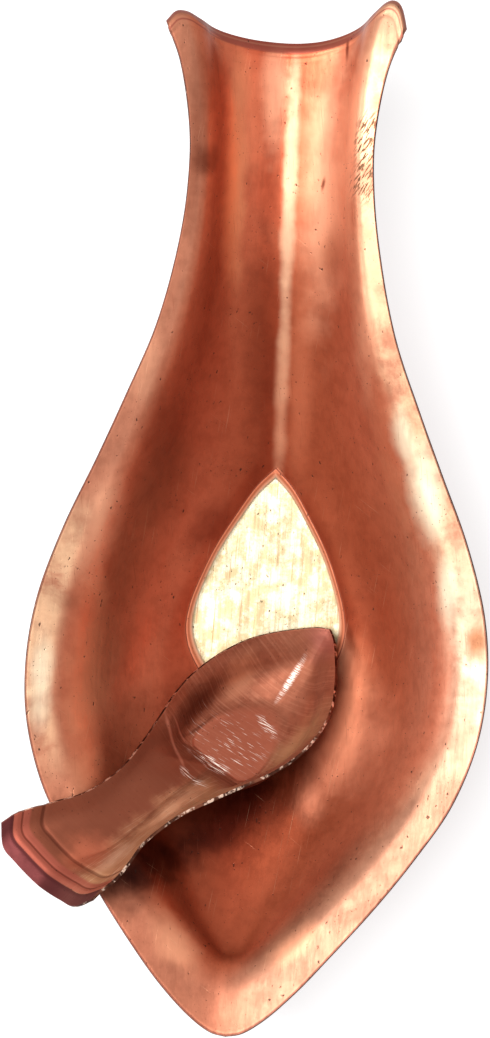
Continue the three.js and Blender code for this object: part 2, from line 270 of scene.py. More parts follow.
# what both sheets share, in millimetres or as shares of a size
rules = {
    "pointSlack": 0.025,  # least share of the foot's length between two stations: no row folds over
    "pointRise": 1.4,  # length over which the foot's point climbs to the keel
    "softBorder": (2.5, 4.5),  # from the first to the second width, the step turns into a soft rise
    "softPower": 4.8,
    "keelPower": 0.8,  # how the keel's rounding grows behind the foot
    "keelStart": 0.02,  # share of the keel over which the rounding sets in
    "bandStart": 0.45,  # share of the rim band that the bend above the wall takes in
    "profile": {"floor": 0.2, "foot": 0.25, "roll": 0.3, "band": 0.25},  # how far up each part leads
    "flareStart": 0.88,
    "facetSoft": 0.25,  # by how much the facet rounds where it runs out into the sheet
    "facetFade": 1.2,  # length over which it sets in
    "tailZone": 4,  # lip widths from the tail's end that the lip and its grooves take up
    "lipBulge": 0.12,  # depth of the crease behind the lip, as a share of the lip's drop
    "quietKeel": 0.3,  # how much of the hammer marks is left at the keel
    "bevel": 0.22,  # of the sheet's thickness
    "merge": 0.002,  # how near to each other two points are one
}


# the corners of each cross-section, as a function of its station
def sheetLines(form):
    length, halfWidth = form["length"], form["halfWidth"]
    onFoot = [Vector((foot[0] * form["footHalfWidth"],
                      form["footFromTip"] + foot[1] * form["footLength"], form["step"]))
              for _, _, foot in form["stations"] if isinstance(foot, tuple)]
    keelShares = [0] + [keel for _, _, keel in form["stations"] if not isinstance(keel, tuple)]
    keelRise = follow(form["keelRise"])
    footEnd = form["footFromTip"] + form["footLength"]
    keelPoints = [Vector((0, footEnd + share * (length - footEnd),
                          form["step"] + keelRise(share) * (form["keelHeight"] - form["step"])))
                  for share in keelShares]
    outline, keel = rail(onFoot), rail(keelPoints)
    rimRail = rail([Vector((rim[0] * halfWidth, rim[1] * length, 0)) for rim, _, _ in form["stations"]])
    bandRail = rail([Vector((band[0] * halfWidth, band[1] * length, 0))
                     for _, band, _ in form["stations"]])
    sheer, wall, slope = follow(form["sheer"]), follow(form["wall"]), follow(form["floorSlope"])
    corner, border = follow(form["corner"]), follow(form["border"])
    keelAtFoot, keelAtTail = form["keelRound"]
    footCount = len(onFoot) - 1
    count = len(form["stations"]) - 1

    def lineAt(station):
        share = station / count
        if station <= footCount:
            foot = outline(station / footCount)
            slack = rules["pointSlack"] * form["footLength"] * (footCount - station)
            foot.y = min(foot.y, footEnd - slack)
        else:
            foot = keel((station - footCount) / (count - footCount))
        rim = rimRail(share)
        rim.z = form["bowlHeight"] + sheer(rim.y / length) * (form["tailHeight"] - form["bowlHeight"])
        roll = bandRail(share)
        roll.z = rim.z - hypot(rim.x - roll.x, rim.y - roll.y) * tan(radians(form["bandSlope"]))
        wallFoot = roll.lerp(foot, wall(share))
        run = hypot(wallFoot.x - foot.x, wallFoot.y - foot.y)
        rise = tan(radians(slope(share)))
        wallFoot.z = foot.z + run * rise
        behind = max(station - footCount, 0) / (count - footCount)
        roundness = keelAtFoot + (keelAtTail - keelAtFoot) * behind ** rules["keelPower"]
        return {"foot": foot, "wallFoot": wallFoot, "roll": roll, "rim": rim, "rise": rise,
                "corner": corner(share), "border": border(station / footCount),
                "round": roundness * smooth(behind, 0, rules["keelStart"]), "onFoot": station <= footCount}

    return lineAt, count


# one point of a right half, how far up the profile it is, and how much it belongs to the flat foot
def halfPoint(form, line, column):
    columns = form["columns"]
    foot, wallFoot, roll, rim = line["foot"], line["wallFoot"], line["roll"], line["rim"]
    if column <= columns["flat"] + columns["step"]:
        return footPoint(form, line, column)
    column -= columns["flat"] + columns["step"]
    floorEnd = wallFoot.lerp(foot, line["corner"])
    wallMiddle = wallFoot.lerp(roll, 0.5)
    bandStart = roll.lerp(rim, rules["bandStart"])
    parts = {
        "floor": lambda share: foot.lerp(floorEnd, share),
        "foot": lambda share: bend(floorEnd, wallFoot, wallMiddle, share),
        "roll": lambda share: bend(wallMiddle, roll, bandStart, share),
        "band": lambda share: bandStart.lerp(rim, share),
    }
    below = 0
    for part, pointAt in parts.items():
        if column <= columns[part]:
            share = column / columns[part]
            return pointAt(share), below + rules["profile"][part] * share, 0
        column -= columns[part]
        below += rules["profile"][part]


# the same for a point of the flat foot or the step round it, which lie on the keel behind the foot
def footPoint(form, line, column):
    columns, foot = form["columns"], line["foot"]
    if not line["onFoot"]:
        return foot.copy(), 0, 0
    middle = Vector((0, form["footFromTip"] + form["footLength"] / 2, form["step"]))
    flatShare = 1 - line["border"] / form["footHalfWidth"]
    edge = middle.lerp(foot, flatShare)
    edge.z = 0
    if column <= columns["flat"]:
        share = column / columns["flat"]
        return Vector((edge.x * share, edge.y, 0)), 0, 1
    share = (column - columns["flat"]) / columns["step"]
    point = edge.lerp(foot, share)
    faded = smooth(line["border"], *rules["softBorder"])
    ledge, soft = smooth(share, 0, 0.8), share ** rules["softPower"]
    groove = form["groove"] * (smooth(share, 0.7, 0.9) - smooth(share, 0.9, 1))
    point.z = form["step"] * (ledge * (1 - faded) + soft * faded) - groove
    tip = middle.y + flatShare * form["footLength"] / 2
    point.z = max(point.z, form["step"] * smooth(point.y, tip, tip + rules["pointRise"]))
    return point, 0, 1 - share


# how far the rounded keel, or the rounded crease before the foot, lies above its sharp form
def rounding(form, line, point, up):
    off = abs(point.x)
    if not line["onFoot"]:
        return line["rise"] * (hypot(off, line["round"]) - off)
    if point.y >= form["footFromTip"]:
        return 0
    radius, floorPart, wallPart = form["frontRound"]
    part = floorPart + (wallPart - floorPart) * smooth(up, 0.15, 0.6) * (1 - 0.6 * smooth(up, 0.8, 1))
    part *= 1 - smooth(point.y / form["footFromTip"], 0.75, 1)
    return part * (hypot(off, radius) - off)


# lays the grid's points on the cross-sections and gives them by column and row
def layGrid(body, form, layer, lines, half):
    last = len(lines) - 1
    endShapes = [follow(rows) for rows in form["endShape"]]
    spots = {}
    for vert in body.verts:
        column = round((vert.co.x + 1) * half) - half
        row = round((vert.co.y + 1) / 2 * last)
        line = lines[row]
        point, up, flat = halfPoint(form, line, abs(column))
        point.z += rounding(form, line, point, up)
        horn = 0 if column < 0 else 1
        stretch = smooth(point.y / form["length"], form["hornStart"], 1) ** 2
        widest = line["rim"].x
        outward = min(point.x / widest, 1) if widest > 0 else 0
        point.y += form["reach"][horn] * stretch * endShapes[horn](outward)
        if horn:
            point.x *= 1 + form["flare"] * smooth(point.y / form["length"], rules["flareStart"], 1)
        else:
            point.x *= -1
        vert.co = point
        vert[layer["upProfile"]], vert[layer["footFlat"]] = up, flat
        vert[layer["fromEnd"]] = (rules["tailZone"] + 1) * form["lipWidth"]
        spots[(column, row)] = vert
    return spots


# a small plane behind the spoon's panel
def pressFacet(body, form, layer):
    start, end, slope = form["facet"]
    for vert in body.verts:
        if start < vert.co.y < end and vert[layer["footFlat"]] == 0:
            plane = form["step"] + slope * (vert.co.y - start)
            pressed = min(max(0.5 + 0.5 * (plane - vert.co.z) / rules["facetSoft"], 0), 1)
            share = pressed * smooth(vert.co.y, start, start + rules["facetFade"])
            vert.co.z += (plane - vert.co.z) * share + rules["facetSoft"] * share * (1 - share)


# the tail's end turned down as a lip, with grooves before it
def turnLip(form, layer, spots, half, last):
    for column in range(-half, half + 1):
        end = spots[(column, last)].co.copy()
        lipWidth = form["lipWidth"] * (1 - form["lipLess"] * smooth(abs(column) / half, 0.5, 0.9))
        for row in range(last, 0, -1):
            vert = spots[(column, row)]
            fromEnd = (vert.co.xy - end.xy).length
            if fromEnd > rules["tailZone"] * form["lipWidth"]:
                break
            for place, width, depth in form["grooves"]:
                vert.co.z -= depth * (1 - smooth(abs(fromEnd - place), 0, width))
            share = fromEnd / lipWidth
            bulge = rules["lipBulge"] * smooth(share, 0.7, 1) * (1 - smooth(share, 1, 1.3))
            vert.co.z -= form["lipDrop"] * (max(1 - share, 0) + bulge)
            vert[layer["fromEnd"]] = fromEnd
            vert[layer["lip"]] = 1 - smooth(share, 0.85, 1.05)


# the sheet's bow to one side, its place over the floor, and its hammer marks
def bowAndHammer(body, form, layer):
    bow = follow(form["bowShape"])
    middle = form["footFromTip"] + form["footLength"] / 2
    bowAtFoot = form["bow"] * bow(middle / form["length"])
    for vert in body.verts:
        up, flat = vert[layer["upProfile"]], vert[layer["footFlat"]]
        free = (1 - form["keelBow"]) * (1 - smooth(vert.co.y / form["length"], 0.8, 0.95))
        taken = 1 - free * (1 - smooth(up, 0, 0.6))
        vert.co.x += (form["bow"] * bow(vert.co.y / form["length"]) - bowAtFoot) * taken
        vert.co.y -= middle
        vert.co.z += form["sheet"]
        if flat < 1:
            beaten = (1 - flat) * (rules["quietKeel"] + (1 - rules["quietKeel"]) * smooth(up, 0.02, 0.3))
            for spacing, height in form["waves"]:
                vert.co.z += height * beaten * noise.noise(vert.co / spacing)


def thicken(piece, sheet):
    thick = piece.modifiers.new("sheetThickness", "SOLIDIFY")
    thick.thickness = sheet * mm
    thick.offset = -1
    thick.use_quality_normals = True
    thick.material_offset = 1
    thick.material_offset_rim = 2
    edge = piece.modifiers.new("cutEdge", "BEVEL")
    edge.width = rules["bevel"] * sheet * mm
    edge.segments = 2
    edge.limit_method = "ANGLE"
    edge.angle_limit = radians(50)


def beatenSheet(name, form, place):
    lineAt, count = sheetLines(form)
    half = sum(form["columns"].values())
    shares = [row / form["rowsEach"] for row in range((count - 1) * form["rowsEach"])]
    shares += [count - 1 + row / form["lipRows"] for row in range(form["lipRows"] + 1)]
    lines = [lineAt(share) for share in shares]
    last = len(lines) - 1
    body = bmesh.new()
    bmesh.ops.create_grid(body, x_segments=2 * half, y_segments=last, size=1)
    layer = {kind: body.verts.layers.float.new(kind)
             for kind in ("upProfile", "footFlat", "lip", "fromEnd")}
    sheetMap = body.loops.layers.uv.new("sheetMap")
    spots = layGrid(body, form, layer, lines, half)
    upright = [face for face in body.faces if all(abs(vert.co.x) < 1e-6 for vert in face.verts)]
    bmesh.ops.delete(body, geom=upright, context="FACES_ONLY")  # leftovers behind the foot's point
    if form["facet"]:
        pressFacet(body, form, layer)
    turnLip(form, layer, spots, half, last)
    bowAndHammer(body, form, layer)
    for face in body.faces:
        for loop in face.loops:
            loop[sheetMap].uv = (loop.vert.co.x * mm, loop.vert.co.y * mm)
    bmesh.ops.remove_doubles(body, verts=body.verts, dist=rules["merge"])
    bmesh.ops.transform(body, matrix=place @ Matrix.Scale(mm, 4), verts=body.verts)
    mesh = bpy.data.meshes.new(name)
    body.to_mesh(mesh)
    body.free()
    mesh.shade_smooth()
    piece = bpy.data.objects.new(name, mesh)
    scene.collection.objects.link(piece)
    thicken(piece, form["sheet"])
    print(name, "has", len(mesh.vertices), "vertices before its thickness")
    return piece


print("beating the vessel and the spoon")
spoonPlace = (Matrix.Translation(Vector((spoonPose["aside"], spoonPose["ahead"], spoonPose["lift"])) * mm)
              @ Matrix.Rotation(radians(spoonPose["turn"]), 4, "Z")
              @ Matrix.Rotation(radians(spoonPose["pitch"]), 4, "X")
              @ Matrix.Rotation(radians(spoonPose["roll"]), 4, "Y"))
koshaSheet = beatenSheet("koshaSheet", vessel, Matrix.Identity(4))
kushiSheet = beatenSheet("kushiSheet", spoon, spoonPlace)


# a material whose patterns are joined to its surface one by one
class Paint:
    def __init__(self, name, wander):
        self.material = bpy.data.materials.new(name)
        self.material.use_nodes = True
        self.nodes = self.material.node_tree.nodes
        self.links = self.material.node_tree.links
        self.surface = self.nodes["Principled BSDF"]
        self.surface.inputs["Specular IOR Level"].default_value = 0.12
        self.place = self.add("ShaderNodeTexCoord").outputs["Object"]
        self.sheet = self.add("ShaderNodeUVMap", uv_map="sheetMap").outputs["UV"]
        self.wander = self.span(self.grain(wander), 0.3, 0.7, -1, 1)

    def add(self, kind, **settings):
        node = self.nodes.new(kind)
        for key, value in settings.items():
            setattr(node, key, value)
        return node

    def join(self, source, target):
        if hasattr(source, "is_output"):
            self.links.new(source, target)
        else:
            target.default_value = source

    def fill(self, node, inputs):
        for name, source in inputs.items():
            self.join(source, node.inputs[name])

    def attribute(self, name):
        return self.add("ShaderNodeAttribute", attribute_name=name).outputs["Fac"]

    # how far across and along the flat sheet a place is, in metres
    def apart(self):
        node = self.add("ShaderNodeSeparateXYZ")
        self.join(self.sheet, node.inputs[0])
        return node.outputs["X"], node.outputs["Y"]

    # the sheet's coordinates round a place, turned, with both radii as 1: millimetres and degrees
    def around(self, place, radii, turn):
        spot = self.add("ShaderNodeMapping", vector_type="TEXTURE")
        self.fill(spot, {"Vector": self.sheet, "Location": (place[0] * mm, place[1] * mm, 0),
                         "Rotation": (0, 0, radians(turn)), "Scale": (radii[0] * mm, radii[1] * mm, 1)})
        return spot.outputs["Vector"]

    # how many grains lie along each axis of a metre
    def stretched(self, scale):
        node = self.add("ShaderNodeMapping")
        self.fill(node, {"Vector": self.place, "Scale": scale})
        return node.outputs["Vector"]

    def grain(self, scale, detail=3, rough=0.55, place=None, warp=0):
        node = self.add("ShaderNodeTexNoise")
        self.fill(node, {"Vector": place or self.place, "Scale": scale, "Detail": detail,
                         "Roughness": rough, "Distortion": warp})
        return node.outputs["Fac"]

    def span(self, value, low, high, toLow=0, toHigh=1):
        node = self.add("ShaderNodeMapRange", interpolation_type="SMOOTHSTEP")
        self.fill(node, {"Value": value, "From Min": low, "From Max": high,
                         "To Min": toLow, "To Max": toHigh})
        return node.outputs["Result"]

    def reckon(self, operation, *values):
        node = self.add("ShaderNodeMath", operation=operation)
        for value, socket in zip(values, node.inputs):
            self.join(value, socket)
        return node.outputs["Value"]

    def times(self, first, second):
        return self.reckon("MULTIPLY", first, second)

    def most(self, first, second):
        return self.reckon("MAXIMUM", first, second)

    # a line at a value, full up to the first width from it and gone at the second
    def lineAt(self, value, place, widths, strength):
        off = self.reckon("ABSOLUTE", self.reckon("SUBTRACT", value, place))
        return self.span(off, *widths, strength, 0)

    # 1 inside a patch and 0 outside, with a ragged and soft edge
    def patch(self, place, radii, turn=0, ragged=0.15, soft=0.9):
        far = self.add("ShaderNodeVectorMath", operation="LENGTH")
        self.join(self.around(place, radii, turn), far.inputs[0])
        edge = self.reckon("ADD", far.outputs["Value"], self.times(self.wander, ragged))
        return self.span(edge, 1 - soft, 1 + 0.2 * soft, 1, 0)

    # thin lines in one direction, of a usual length and width, between two levels of grain
    def strokes(self, turn, length, width, low, high):
        return self.span(self.grain(1, 2, 0.4, place=self.around((0, 0), (length, width), turn)), low, high)

    # small dark specks that keep to the stained places
    def specks(self, scale, stains):
        return self.times(self.span(self.grain(scale, 1, 0.5, place=self.sheet), 0.68, 0.76),
                          self.span(stains, 0.45, 0.6))

    def blend(self, share, first, second, mode="MIX"):
        node = self.add("ShaderNodeMix", data_type="RGBA", blend_type=mode)
        self.join(share, node.inputs["Factor"])
        for value, socket in ((first, "A"), (second, "B")):
            target = [s for s in node.inputs if s.name == socket and s.type == "RGBA"][0]
            self.join(value if hasattr(value, "is_output") else (*value, 1), target)
        return [s for s in node.outputs if s.type == "RGBA"][0]

    # patches laid over the colour one by one, and how dull they leave the copper
    def marked(self, color, marks):
        dull = 0
        for place, radii, turn, mode, shade, strength, dullness in marks:
            mask = self.patch(place, radii, turn)
            color = self.blend(self.times(mask, strength), color, shade, mode)
            if dullness:
                dull = self.most(self.times(mask, dullness), dull)
        return color, dull

    # the copper's own two tones and the stains over them: stained says from where to where and how much
    def ground(self, broad, stains, tones, stained):
        color = self.blend(self.span(broad, 0.38, 0.62), tones[0], tones[1])
        return self.blend(self.span(stains, *stained), color, tones[2])

    # the whole surface, with bumps as height, distance in metres and strength
    def finish(self, color, metallic, roughness, *bumps):
        self.fill(self.surface, {"Base Color": color, "Metallic": metallic, "Roughness": roughness})
        below = None
        for height, distance, strength in bumps:
            node = self.add("ShaderNodeBump")
            self.fill(node, {"Height": height, "Distance": distance, "Strength": strength})
            if below:
                self.join(below, node.inputs["Normal"])
            below = node.outputs["Normal"]
        self.join(below, self.surface.inputs["Normal"])
        return self.material


# the copper's colours; the shade colours darken for painted shade, the plain one also for a cloudy patina
# and a stain; one deep brown darkener gives the spoon's painted shadow and painted shade in creases and
# grooves; pale, cream, peach and wall also make painted highlights and painted light
copper = {
    "dark": (0.34, 0.06, 0.026),
    "red": (0.46, 0.093, 0.042),
    "brown": (0.25, 0.062, 0.031),
    "wall": (0.56, 0.16, 0.077),
    "salmon": (0.38, 0.155, 0.093),
    "pale": (0.7, 0.42, 0.25),
    "peach": (0.88, 0.42, 0.25),
    "ashen": (0.5, 0.13, 0.064),
    "cream": (0.8, 0.7, 0.5),
    "wearAndSheen": (0.55, 0.47, 0.34),
    "rose": (0.32, 0.165, 0.105),
    "gold": (0.19, 0.155, 0.085),
    "straw": (0.27, 0.25, 0.18),
    "rust": (0.15, 0.08, 0.035),
    "ledge": (0.42, 0.12, 0.055),
    "scribble": (0.1, 0.05, 0.025),
    "rimLine": (0.1, 0.03, 0.02),
    "maroon": (0.22, 0.05, 0.035),
    "shade": (0.5, 0.38, 0.34),
    "deepShade": (0.66, 0.57, 0.5),
    "frontShade": (0.9, 0.78, 0.74),
    "shadowAndDark": (0.22, 0.1, 0.07),
    "pit": (0.03, 0.012, 0.008),
}

# from where to where a zone of the vessel's inside fades in: metres on the sheet, or shares up the profile
zones = {
    "front": (-0.03, -0.08),
    "right": (-0.01, 0.01),
    "rightRaised": 0.24,  # how much higher up its profile the right side counts
    "frontRaised": 0.15,
    "wall": (0.16, 0.5),
    "salmon": (0.57, 0.8),
    "bellyFront": (-0.07, -0.04),
    "bellyBack": (0.01, 0.03),
    "polishAndSheen": (0.67, 0.83),
    "rightWall": (0.6, 0.78),
    "rightWallBack": (-0.03, 0.04),
    "rightRim": (0.55, 0.75),
    "sheenBack": (-0.06, 0.01),
    "turnFoot": (0.1, 0.35),
    "turnTop": (0.6, 0.8),
    "deepLeft": (-0.025, -0.005),
    "deepBack": (0.08, 0.12),
    "deepTop": (0.5, 0.68),
    "rimLine": (0.98, 0.992),
}

# scratches: direction in degrees, length and width in millimetres, and between which levels they show
scratches = {
    "footBrush": (88, 22, 0.5, 0.6, 0.75),
    "long": (82, 20, 0.3, 0.66, 0.76),
    "slanting": (-35, 16, 0.3, 0.72, 0.8),
    "scored": (97, 13, 0.3, 0.64, 0.74),
    "scribble": (62, 2.6, 0.55, 0.5, 0.56),
    "spoonCross": (8, 16, 0.6, 0.3, 0.7),
    "spoonCombed": (84, 9, 0.3, 0.55, 0.7),
    "spoonDashes": (8, 5, 0.4, 0.5, 0.6),
    "spoonSparse": (8, 5.5, 0.3, 0.62, 0.7),
    "spoonGleam": (12, 3, 0.25, 0.4, 0.6),
}

# the vessel's inside: place and radii in millimetres, turn in degrees, blend, colour, strength, dullness;
# most rows are painted light and painted shade, lighter where walls, rims and keel face the light and
# darker where they face away, three are the spoon's painted shadow, and a few are stains
vesselMarks = [
    # painted shade on the floor left of the keel
    ((-32, 42), (9, 28), 0, "MULTIPLY", copper["shade"], 0.5, 0),
    # a dark stain on the neck's left wall
    ((-22.5, 125), (5, 6), 0, "MULTIPLY", copper["shade"], 0.95, 0),
    # painted shade left of the keel, painted light on the neck's right, a painted highlight along the keel
    ((-5, 76), (6.5, 50), 0, "MULTIPLY", copper["shade"], 0.6, 0),
    ((7, 62), (5, 36), 0, "MIX", copper["wall"], 0.5, 0.1),
    ((6, 115), (10, 42), 2, "MIX", copper["wall"], 0.7, 0.1),
    ((13, 118), (9, 46), 0, "MIX", copper["peach"], 0.6, 0.4),
    ((1.6, 112), (2.6, 52), 0, "MIX", (0.9, 0.56, 0.35), 0.7, 0.6),
    ((1.4, 60), (2.6, 34), 0, "MIX", (0.8, 0.38, 0.22), 0.5, 0.4),
    ((20, 138), (7, 22), 0, "MIX", copper["peach"], 0.8, 0.5),
    # painted shade and painted light on the neck's left wall
    ((-25, 132), (4, 36), 0, "MULTIPLY", copper["shade"], 0.7, 0),
    ((-14.5, 120), (4, 38), 0, "MIX", (0.75, 0.28, 0.13), 0.7, 0.5),
    ((-4, 146), (5, 20), 0, "MIX", copper["peach"], 0.6, 0.4),
    # darker by the neck's right and inside the right horn
    ((15, 100), (4.5, 9), 0, "MULTIPLY", (0.6, 0.42, 0.35), 0.7, 0),
    ((28, 142), (4, 10), 0, "MULTIPLY", (0.8, 0.65, 0.55), 0.7, 0),
    # darker at the foot of the right front wall, then painted light on the front walls, the right wall and
    # the left rim
    ((26, -81), (6, 18), -40, "MULTIPLY", (0.6, 0.42, 0.38), 0.4, 0),
    ((14, -104), (5, 11), -52, "MIX", (0.85, 0.36, 0.2), 0.6, 0.5),
    ((-20, -105), (6, 13), 40, "MIX", (0.85, 0.36, 0.2), 0.6, 0.5),
    ((27, 88), (5.5, 30), 0, "MIX", copper["peach"], 0.6, 0.35),
    ((34.5, 45), (4.5, 26), 12, "MIX", copper["wall"], 0.5, 0.25),
    ((-50, -28), (7, 38), 0, "MIX", (0.8, 0.34, 0.18), 0.6, 0.4),
    # the right horn's tone, and darker on the right floor
    ((31, 166), (13, 13), 0, "MIX", copper["salmon"], 0.8, 0),
    ((37, -2), (18, 30), 0, "MULTIPLY", copper["shade"], 0.35, 0.1),
    # painted light on the floor right of the spoon, painted highlights on the right rim
    ((28, -46), (13, 19), -25, "MIX", (0.8, 0.27, 0.15), 0.8, 0.6),
    ((25, -36), (9, 26), -8, "MIX", (0.88, 0.32, 0.17), 0.7, 0.6),
    ((17, -62), (7, 9), 0, "MIX", (0.8, 0.3, 0.17), 0.6, 0.5),
    ((46.5, 32), (6, 17), 12, "MIX", copper["cream"], 0.8, 0.3),
    ((54.5, 2), (4, 12), 4, "MIX", copper["cream"], 0.7, 0.3),
    # darker on the right rim
    ((64, -11), (5, 10), 0, "MULTIPLY", (0.5, 0.25, 0.15), 0.9, 0),
    # painted highlight on the left rim, painted light on the left wall
    ((-64, -29), (4, 17), 0, "MIX", copper["cream"], 0.6, 0.2),
    ((-49, 16), (6, 19), -12, "MIX", copper["peach"], 0.6, 0.4),
    # darker left of the foot's upper end
    ((-19, 18), (6, 15), -28, "MULTIPLY", (0.5, 0.36, 0.32), 0.8, 0),
    # painted light by the spoon's tip, on the left rim and the neck, and a painted highlight on the right
    # wall
    ((21, -21), (7, 13), 0, "MIX", copper["peach"], 0.5, 0.5),
    ((-37, 66), (5, 16), -14, "MIX", copper["peach"], 0.4, 0.3),
    ((39, 48), (4, 10), 12, "MIX", copper["cream"], 0.6, 0.2),
    ((-11, 138), (7, 20), 0, "MIX", copper["wall"], 0.5, 0.3),
    # the spoon's painted shadow
    ((-29, -83), (17, 11), 28, "MULTIPLY", copper["shadowAndDark"], 0.85, 0),
    ((-5, -68), (35, 12), 31, "MULTIPLY", copper["shadowAndDark"], 0.9, 0),
    ((-38, -86), (17, 12), 28, "MULTIPLY", (0.12, 0.045, 0.03), 0.9, 0),
    # two thin dark lines
    ((16.7, 160), (0.6, 4), 0, "MULTIPLY", copper["shadowAndDark"], 0.9, 0),
    ((11.5, 121), (0.7, 2.4), -8, "MULTIPLY", copper["shadowAndDark"], 0.9, 0),
    # a ring stain on the left wall
    ((-57.5, -6), (5, 5.5), 0, "MULTIPLY", copper["shade"], 0.4, 0),
]

# the turned lip's edges: millimetres from the tail's end, colour and strength
lipLines = [(1.1, copper["pale"], 0.1), (2.9, copper["maroon"], 0.7)]


# the walls paler higher up and on the right, partly painted light; painted highlights on the rims with some
# polish; the right wall painted paler where it faces the light; painted shade in the depth and at the
# front; a cloudy patina
def vesselBands(paint, color, masks):
    up, higher, along, right, front = (masks[name] for name in ("up", "higher", "along", "right", "front"))
    # paler higher up the walls and on the right side: partly the copper's tone, partly painted light
    color = paint.blend(paint.span(higher, *zones["wall"], 0, 0.55), color, copper["wall"])
    color = paint.blend(paint.span(higher, *zones["salmon"], 0, 0.8), color, copper["salmon"])
    # painted highlights on the rims, mottled like polish
    mottled = paint.span(paint.grain(75, 5, 0.65, warp=0.4), 0.32, 0.6, 0.15, 1)
    belly = paint.times(paint.span(along, *zones["bellyFront"]),
                        paint.span(along, *zones["bellyBack"], 1, 0))
    polishAndSheen = paint.times(paint.times(paint.most(right, belly), mottled),
                           paint.span(higher, *zones["polishAndSheen"]))
    polishAndSheen = paint.times(polishAndSheen, paint.span(front, 0, 1, 0.9, 0.2))
    color = paint.blend(polishAndSheen, color, copper["pale"])
    # the right wall painted paler where it faces the light
    wearAndSheen = paint.blend(mottled, copper["rose"], copper["wearAndSheen"])
    wearAndSheen = paint.blend(paint.span(along, *zones["sheenBack"]), copper["rose"], wearAndSheen)
    rightWall = paint.times(right, paint.span(along, *zones["rightWallBack"], 1, 0))
    rightWall = paint.times(paint.span(higher, *zones["rightWall"]), rightWall)
    notFront = paint.most(paint.span(up, *zones["rightRim"]), paint.span(front, 0, 1, 1, 0))
    color = paint.blend(paint.times(paint.times(rightWall, notFront), 0.9), color, wearAndSheen)
    color = paint.blend(paint.times(masks["turning"], 0.8), color, copper["ashen"])
    deep = paint.times(paint.span(masks["across"], *zones["deepLeft"]),
                       paint.span(along, *zones["deepBack"], 1, 0))
    deep = paint.times(paint.most(deep, front), paint.span(higher, *zones["deepTop"], 1, 0))
    color = paint.blend(deep, color, copper["deepShade"], "MULTIPLY")
    # a cloudy patina, darkened with the shade colour
    cloudy = paint.span(paint.grain(230, 5, 0.65), 0.4, 0.66, 0, 0.25)
    color = paint.blend(cloudy, color, copper["shade"], "MULTIPLY")
    return paint.blend(paint.times(front, 0.6), color, copper["frontShade"], "MULTIPLY")


# the flat foot, brushed and pale, its paleness partly a painted highlight, and the ledge round it
def vesselFoot(paint, color, flat, stepped):
    color = paint.blend(paint.times(stepped, 1.2), color, copper["ledge"])
    color = paint.blend(paint.span(flat, 0.4, 0.8), color, copper["peach"])
    blotches = paint.span(paint.grain(230, 5, 0.7), 0.4, 0.62)
    paleFoot = paint.blend(blotches, copper["gold"], copper["straw"])
    paleFoot = paint.blend(paint.strokes(*scratches["footBrush"]), paleFoot, copper["rust"])
    return paint.blend(paint.span(flat, 0.6, 1, 0, 0.95), color, paleFoot)


# long bright scratches, dark scored ones and the scribbles on the right of the neck
def vesselScratches(paint, color):
    rubbedAndGleam = paint.span(paint.grain(45, 3, 0.5), 0.45, 0.6)
    bright = paint.most(paint.times(paint.strokes(*scratches["long"]), rubbedAndGleam),
                        paint.strokes(*scratches["slanting"]))
    color = paint.blend(paint.times(bright, 0.25), color, copper["pale"])
    scored = paint.times(paint.strokes(*scratches["scored"]), paint.span(rubbedAndGleam, 0, 1, 1, 0.2))
    color = paint.blend(paint.times(scored, 0.35), color, copper["brown"])
    scribbled = paint.times(paint.strokes(*scratches["scribble"]),
                            paint.patch((25, 126), (5, 16), 0, 0.2, 0.4))
    return paint.blend(scribbled, color, copper["scribble"]), bright


# painted shade in the crease round the foot, a dark line along the rim, the lip painted dark maroon as
# painted shade where it turns down away from the light, and thin lines along it
def vesselEdges(paint, color, flat, up):
    hairline = paint.times(paint.span(flat, 0.01, 0.06), paint.span(flat, 0.12, 0.2, 1, 0))
    color = paint.blend(paint.times(hairline, 0.85), color, copper["shadowAndDark"], "MULTIPLY")
    color = paint.blend(paint.span(up, *zones["rimLine"], 0, 0.85), color, copper["rimLine"])
    color = paint.blend(paint.span(paint.attribute("lip"), 0.3, 0.8, 0, 0.85), color, copper["maroon"])
    fromEnd = paint.attribute("fromEnd")
    for place, shade, strength in lipLines:
        color = paint.blend(paint.lineAt(fromEnd, place, (0.15, 0.4), strength), color, shade)
    return color


